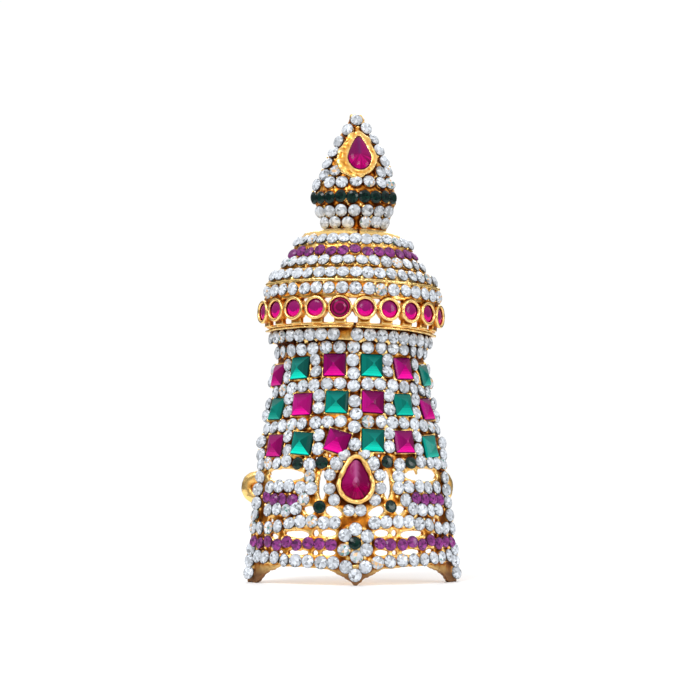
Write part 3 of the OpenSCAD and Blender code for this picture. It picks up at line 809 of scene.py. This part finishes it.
def tinted_facets(points, faces, low, high, seed):
    """Colours between a dark and a bright one, with painted light: painted glints here and there, a
    bottom painted brighter, and an edge painted dark as shade.
    """
    chance = np.random.default_rng(seed)
    way = np.clip(0.42 - 0.25 * slants(points, faces) + chance.normal(
        0, 0.24, (len(points), len(faces))), 0, 1)
    # The edge is painted dark, as shade
    way[:, EDGE] *= 0.3
    return low + (high - low) * way[..., None]


purples = jittered(np.concatenate([fields["skirt_purples"], fields["dome_purples"]]), tip=7,
                   seed=21)
points, faces = round_stones(purples, PURPLE_R)
colours = tinted_facets(points, faces, linear(74, 32, 72), linear(166, 70, 154), 22)
stone_piece("purple_stones", points, faces, colours, glass("purple glass", 0.12, 0.25),
            ["skirt_purples", "dome_purples"])

greens = jittered(np.concatenate([fields["skirt_greens"], fields["finial_greens"]]), tip=5,
                  seed=31)
points, faces = round_stones(greens, GREEN_R)
colours = tinted_facets(points, faces, linear(5, 18, 20), linear(10, 52, 42), 32)
stone_piece("dark_green_stones", points, faces, colours, glass("dark green glass", 0.12, 0.3),
            ["skirt_greens", "finial_greens"])

# The square stones: pyramid-cut glass in magenta and green, set as a chequer and held by the
# prongs. Their left and lower slopes are painted bright and the others darker: painted light from
# above, as the foil behind reflects it.

# Rings of the cut: [share of the side, height]
SQUARE_CUT = np.array([[0.95, 0], [1, 0.35], [0.93, 0.5], [0.78, 0.72], [0.61, 0.91], [0.43, 1.09],
                       [0.25, 1.26], [0.08, 1.4]])
# Painted light, how bright the four slopes are at the rim and near the table: right, top, left,
# bottom
SLOPES = np.array([[0.65, 0.9], [0.7, 1.25], [1.1, 0.8], [1.4, 0.55]])


def square_stones(frames, side, seed):
    """Corners and faces of square stones: a low girdle, a narrow chamfer, four slopes in steps,
    whose painted light changes from one to the next, and a small table set off from the middle."""
    chance = np.random.default_rng(seed)
    local = np.concatenate([np.c_[square(side * share), np.full(4, height)]
                            for share, height in SQUARE_CUT])
    local = np.broadcast_to(local, (len(frames),) + local.shape).copy()
    towards_table = np.repeat(np.clip(1 - SQUARE_CUT[:, 0], 0, 1) * (SQUARE_CUT[:, 1] > 0), 4)
    local[..., :2] += chance.normal(0, 0.22, (len(frames), 1, 2)) * towards_table[:, None]
    points = frames[:, None, 0] + np.einsum("nsk,nkx->nsx", local, frames[:, 1:])
    corner, ring = np.arange(4), 4 * np.arange(len(SQUARE_CUT) - 1)[:, None]
    after = (corner + 1) % 4
    steps = np.stack([ring + corner, ring + after, ring + 4 + after, ring + 4 + corner], -1)
    top = 4 * (len(SQUARE_CUT) - 1) + corner
    return points, steps.reshape(-1, 4).tolist() + [top.tolist(), [3, 2, 1, 0]]


def square_colours(count, facets, seed):
    """Facets by the way they face, right, top, left, bottom, in painted light that is brightest at
    the bottom. Each stone is a little different, and some are more even in colour. The girdle and
    the chamfer are painted dark, as shade."""
    chance = np.random.default_rng(seed)
    rows = np.array([linear(*c) for c in facets])
    rows = rows + (rows.mean(0) - rows) * chance.uniform(0.05, 0.7, (count, 1, 1))
    levels = len(SQUARE_CUT) - 3
    shade = SLOPES[:, 0] + (SLOPES[:, 1] - SLOPES[:, 0]) * np.linspace(0, 1, levels)[:, None]
    shade = np.concatenate([np.full((1, 4), 0.2), np.full((1, 4), 0.25), shade])
    vary = chance.uniform(0.65, 1.3, (count, 1, 4))
    vary = vary * chance.uniform(0.9, 1.1, (count, levels + 2, 4))
    sides = (shade * vary)[..., None] * rows[:, None]
    ends = np.stack([rows.mean(1), rows[:, 3] * 0.3], 1)
    return np.clip(np.concatenate([sides.reshape(count, -1, 3), ends], 1), 0, 1)


chequer = (np.arange(3)[:, None] + np.arange(6)[None]) % 2
# Colours of the right, top, left and bottom slopes, brightest at the bottom as painted light
for name, which, facets, slot in (
        ("magenta_squares", 0, ((130, 4, 84), (104, 12, 76), (156, 8, 110), (232, 0, 150)),
         "magenta_glass"),
        ("green_squares", 1, ((0, 74, 68), (8, 96, 90), (0, 128, 116), (0, 192, 168)),
         "green_glass")):
    chosen = (chequer == which).ravel()
    points, faces = square_stones(square_frames[chosen], SQUARE_SIDE, 41 + which)
    numbers = [f"square_stone_{r + 1}_{c + 1}" for r in range(3) for c in range(6)
               if chequer[r, c] == which]
    stone_piece(name, points, faces, square_colours(chosen.sum(), facets, 43 + which),
                glass(name.replace("_squares", " glass"), 0.14, 0.10), numbers)

# The rubies of the gallery: low round glass cabochons, held by the rolled rims. A bright crescent
# is painted in their lower part as painted light from the foil, except in the fifth, which shows
# dark rings. Under the rims their edge is painted in shade.

# Rings of the cut: [share of the radius, height]
RUBY_CUT = [[0.95, 0.1], [1, 0.55], [0.93, 0.72], [0.8, 0.84], [0.62, 0.93], [0.42, 0.98],
            [0.2, 1.0]]
RUBY_HEIGHT, RIM_START = 1.0, 0.94
ruby_points, ruby_colours = [], []
chance = np.random.default_rng(51)
for number in range(RUBIES):
    radius = 1.88 if number == FIFTH else 1.64
    points, faces, spot = domed_stones(rubies[number:number + 1], circle(radius, 32), RUBY_CUT,
                                       RUBY_HEIGHT)
    spot = spot / radius
    away = np.hypot(spot[:, 0], spot[:, 1])
    if number == FIFTH:
        bright = 0.35 + 0.5 * np.cos(away * 14)
        dark, light = linear(84, 8, 48), linear(176, 14, 100)
    else:
        shift = chance.uniform(-0.25, 0.25)
        crescent = np.hypot(spot[:, 0] - shift * 0.4, spot[:, 1] - 0.42)
        bright = np.clip((crescent - 0.72) / 0.16, 0, 1) * np.clip((0.05 - spot[:, 1]) / 0.2, 0, 1)
        dark, light = linear(138, 20, 98), linear(228, 0, 140)
    # Near the rim the painted crescent fades, and the edge is painted darker, as shade under the
    # rim
    bright = np.where(away > RIM_START, bright * 0.3, bright) + chance.normal(0, 0.05, len(away))
    dim = np.where(away > RIM_START, 0.55, 1.0)
    ruby_points.append(points)
    ruby_colours.append(((dark + (light - dark) * np.clip(bright, 0, 1)[:, None])
                         * dim[:, None])[None])
stone_piece("ruby_stones", np.concatenate(ruby_points), faces, np.concatenate(ruby_colours),
            glass("ruby glass", 0.10, 0.2), [f"ruby_{i + 1}" for i in range(RUBIES)])

# The two pear stones: magenta glass with a foil back, glued into their raised settings. Each has a
# smooth face left and right of a ridge, and radial facets in the round end, all painted in the
# colour: painted light makes the faces differ, a painted sheen runs along the ridge, and the facets
# are painted glints.

# Rings of the cut: [share of the outline, height], and the height of the middle
PEAR_CUT = [[0.96, 0.3], [1, 0.62], [0.9, 0.95], [0.72, 1.25], [0.5, 1.45], [0.25, 1.58]]
PEAR_TOP, SMALL_WIDTH = 1.62, 4.8


def pear_colours(spot, width, left, right, ridge_sheen, foot, shaded_edge, seed):
    """Left and right face in painted light of two brightnesses, a painted sheen along the ridge
    from the point to the middle, a round end in its own painted light with radial facets of painted
    glints, and an edge painted dark as shade."""
    chance = np.random.default_rng(seed)
    x, y = spot[:, 0] / (width / 2), spot[:, 1] / (width / 2)
    colour = np.where((x < 0)[:, None], left, right)
    # Painted sheen along the ridge
    pale = np.exp(-(x / 0.16) ** 2) * np.clip((y + 0.1) / 0.3, 0, 1) * 0.7
    colour = colour + (ridge_sheen - colour) * pale[:, None]
    low = np.clip((-y + 0.15) / 0.5, 0, 1)
    colour = colour + (foot - colour) * low[:, None]
    sectors = 24
    sector = np.floor((np.arctan2(y, x) / (2 * np.pi) + 0.5) * sectors).astype(int) % sectors
    # Radial facets of the round end, as painted glints of random brightness
    colour = colour * (1 + low * (chance.uniform(-0.55, 0.55, sectors)[sector]))[:, None]
    lowest_rings = np.arange(len(spot)) < 2 * PEAR_SIDES
    # The edge is painted dark, as shade
    colour = np.where(lowest_rings[:, None], shaded_edge, colour)
    speckle = chance.normal(0, 1, len(spot)) * (0.03 + 0.14 * low)
    return np.clip(colour * (1 + speckle)[:, None], 0, 1)[None]


points, faces, spot = domed_stones(pear_seat, pear_outline, PEAR_CUT, PEAR_TOP)
# Colours: left and right face in painted light, the painted sheen of the ridge, the round end, and
# the edge painted dark as shade
colours = pear_colours(spot, PEAR_WIDTH, linear(142, 8, 86), linear(106, 2, 60),
                       linear(178, 92, 144), linear(118, 0, 58), linear(60, 2, 28), seed=61)
stone_piece("large_pear_stone", points, faces, colours, glass("pear glass", 0.12, 0.08),
            ["pear_stone"])
points, faces, spot = domed_stones(finial_pear_seat, pear(SMALL_WIDTH, up=1.8, down=1.28,
                                                          drawn=0.24), PEAR_CUT, PEAR_TOP)
colours = pear_colours(spot, SMALL_WIDTH, linear(112, 10, 76), linear(140, 8, 88),
                       linear(96, 36, 88), linear(158, 0, 92), linear(84, 2, 50), seed=62)
stone_piece("small_pear_stone", points, faces, colours, glass("small pear glass", 0.12, 0.12),
            ["finial_pear_stone"])

# The stage: a plain pale floor that fades into the pale surroundings, soft light from above and
# both sides, and the camera of the picture, a little below the middle of the crown.
mesh = bpy.data.meshes.new("floor")
mesh.from_pydata([[-2, -2, 0], [2, -2, 0], [2, 2, 0], [-2, 2, 0]], [], [[0, 1, 2, 3]])
floor = placed("floor", mesh)
made, nodes, links, surface = shader("pale floor")
surface.inputs["Base Color"].default_value = (0.93, 0.93, 0.93, 1)
surface.inputs["Roughness"].default_value = 0.9
surface.inputs["Specular IOR Level"].default_value = 0.1
mesh.materials.append(made)
place = nodes.new("ShaderNodeTexCoord")
far = added(nodes, "ShaderNodeVectorMath", operation="LENGTH")
links.new(place.outputs["Object"], far.inputs[0])
fade = added(nodes, "ShaderNodeMapRange", {"From Min": 0.06, "From Max": 0.25})
links.new(far.outputs["Value"], fade.inputs["Value"])
none = nodes.new("ShaderNodeBsdfTransparent")
mix = nodes.new("ShaderNodeMixShader")
links.new(fade.outputs["Result"], mix.inputs["Fac"])
links.new(surface.outputs["BSDF"], mix.inputs[1])
links.new(none.outputs["BSDF"], mix.inputs[2])
links.new(mix.outputs["Shader"], nodes["Material Output"].inputs["Surface"])

# The surroundings: pale to the camera; to everything else pale above and below, and darker at the
# height of the horizon, which gives the gold its contrast
world = bpy.data.worlds.new("pale room")
bpy.context.scene.world = world
world.use_nodes = True
nodes, links = world.node_tree.nodes, world.node_tree.links
room = nodes["Background"]
ray = nodes.new("ShaderNodeLightPath")
place = nodes.new("ShaderNodeTexCoord")
split = nodes.new("ShaderNodeSeparateXYZ")
links.new(place.outputs["Generated"], split.inputs["Vector"])
sky = nodes.new("ShaderNodeValToRGB")
sky.color_ramp.elements[0].position = 0.35
sky.color_ramp.elements[0].color = (0.75, 0.74, 0.72, 1)
sky.color_ramp.elements[1].position = 0.80
sky.color_ramp.elements[1].color = (1.5, 1.52, 1.55, 1)
for position, grey in ((0.47, 0.30), (0.56, 0.32), (0.66, 0.9)):
    sky.color_ramp.elements.new(position).color = (grey, grey, grey, 1)
half = added(nodes, "ShaderNodeMapRange", {"From Min": -1.0})
links.new(split.outputs["Z"], half.inputs["Value"])
links.new(half.outputs["Result"], sky.inputs["Fac"])
choose = nodes.new("ShaderNodeMix")
choose.data_type = "RGBA"
colour_sockets(choose.inputs)[1].default_value = (1.7, 1.7, 1.7, 1)
links.new(ray.outputs["Is Camera Ray"], choose.inputs["Factor"])
links.new(sky.outputs["Color"], colour_sockets(choose.inputs)[0])
links.new(colour_sockets(choose.outputs)[0], room.inputs["Color"])
room.inputs["Strength"].default_value = 0.6

# Square lamps that look at the crown's middle: name, place, side, power
LIGHTS = (("above left", (-0.25, -0.30, 0.42), 0.22, 1.3),
          ("right", (0.40, -0.25, 0.15), 0.16, 0.5),
          ("front", (0.02, -0.50, 0.20), 0.10, 0.3),
          ("behind", (0.05, 0.35, 0.30), 0.25, 0.8))
CROWN_MIDDLE = np.array([0, 0, 0.045])
for name, spot, size, power in LIGHTS:
    lamp = bpy.data.lights.new(name, "AREA")
    lamp.size, lamp.energy = size, power
    holder = placed(name, lamp)
    way = CROWN_MIDDLE - spot
    holder.location = spot
    holder.rotation_euler = (np.pi / 2 + np.arcsin(way[2] / np.linalg.norm(way)), 0,
                             np.arctan2(-way[0], way[1]))

# The camera stands to the left of the axis and looks a little up and to the right
lens = bpy.data.cameras.new("picture")
lens.sensor_width, lens.lens = 36, 102.2
camera = placed("picture", lens)
camera.location = (-0.01724, -0.3796, 0.024)
camera.rotation_euler = (np.radians(90 + 2.938), 0, np.radians(-2.6))
bpy.context.scene.camera = camera
bpy.context.scene.view_settings.view_transform = "Standard"
